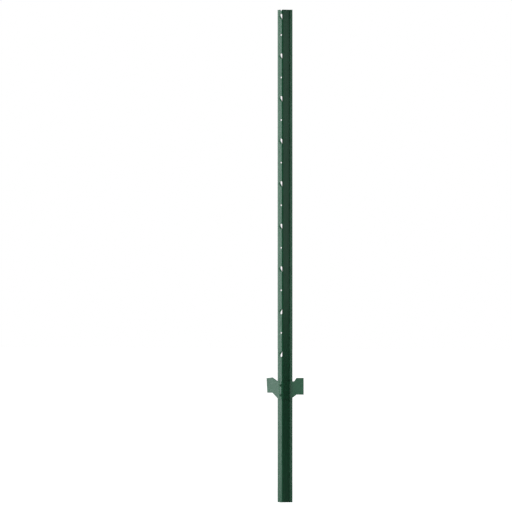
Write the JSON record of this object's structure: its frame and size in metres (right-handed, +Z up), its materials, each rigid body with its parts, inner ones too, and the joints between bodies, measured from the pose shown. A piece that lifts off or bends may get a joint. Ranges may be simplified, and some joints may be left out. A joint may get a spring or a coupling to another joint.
{
  "type": "u-channel fence post",
  "caption": "Hat-section sheet steel fence post with wire lugs lanced out of its web, round tie holes and a folded anchor plate riveted near the foot.",
  "frame": {"origin": "middle of the web sheet's cut end at the foot of the post", "axes": "+Z up the post, -Y out of the web's front face where the wire lugs are, +X to the right seen from the front"},
  "size_m": [0.1054, 0.0318, 1.2192],
  "materials": {
    "post_coat": "semi-gloss dark moss green powder coat on steel sheet",
    "plate_coat": "semi-gloss dark moss green powder coat on steel sheet",
    "rivet_coat": "semi-gloss dark moss green powder coat on steel rivets"
  },
  "bodies": {
    "root": {"post_channel": "post_coat", "anchor_plate": "plate_coat", "upper_rivet": "rivet_coat", "lower_rivet": "rivet_coat"}
  },
  "joints": []
}
